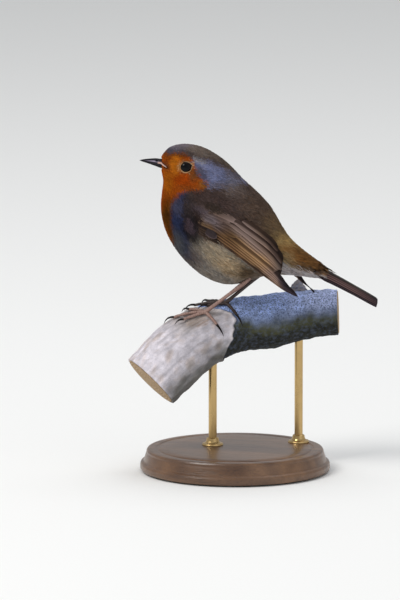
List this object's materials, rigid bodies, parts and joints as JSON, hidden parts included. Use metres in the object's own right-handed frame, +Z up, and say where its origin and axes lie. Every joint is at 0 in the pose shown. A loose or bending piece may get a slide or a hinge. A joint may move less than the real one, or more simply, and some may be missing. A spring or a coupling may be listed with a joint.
{
  "type": "european robin",
  "caption": "Life-size still model of a European robin perching on a cut length of branch, which two rods hold over a round base.",
  "frame": {"origin": "centre of the round base's underside, which rests on the floor or shelf", "axes": "+Z up; the bird faces -X, with its left side at -Y; its head is turned 18 degrees to its left"},
  "size_m": [0.1203, 0.0912, 0.1592],
  "materials": {
    "plumage_face": "soft overlapping contour feathers, orange",
    "plumage_olive": "soft overlapping contour feathers, olive brown above and buff to grey below",
    "plumage_rufous": "soft rufous brown feathers",
    "flight_feathers": "firm brown vanes with a faint sheen",
    "bill_horn": "blackish horn, satin",
    "eye": "wet dark brown eye",
    "leg_skin": "pinkish brown scaly skin",
    "claw_horn": "dark horn, satin",
    "bark": "smooth grey bark with freckles, matt",
    "base_wood": "turned hardwood, oiled",
    "rod_metal": "drawn rod, satin"
  },
  "bodies": {
    "root": {"head": "plumage_face", "neck": "plumage_olive", "trunk": "plumage_olive", "wing_left_coverts": "plumage_olive", "wing_right_coverts": "plumage_olive", "thigh_left": "plumage_olive", "thigh_right": "plumage_olive", "rump": "plumage_rufous", "wing_left_tertials": "flight_feathers", "wing_left_primaries": "flight_feathers", "wing_right_tertials": "flight_feathers", "wing_right_primaries": "flight_feathers", "tail": "flight_feathers", "bill_upper": "bill_horn", "bill_lower": "bill_horn", "eye_left": "eye", "eye_right": "eye", "tarsus_left": "leg_skin", "tarsus_right": "leg_skin", "foot_left": "leg_skin", "foot_right": "leg_skin", "claw_left_middle": "claw_horn", "claw_left_inner": "claw_horn", "claw_left_outer": "claw_horn", "claw_left_hind": "claw_horn", "claw_right_middle": "claw_horn", "claw_right_inner": "claw_horn", "claw_right_outer": "claw_horn", "claw_right_hind": "claw_horn", "perch": "bark", "stand_base": "base_wood", "stand_rod_front": "rod_metal", "stand_rod_rear": "rod_metal"}
  },
  "joints": []
}
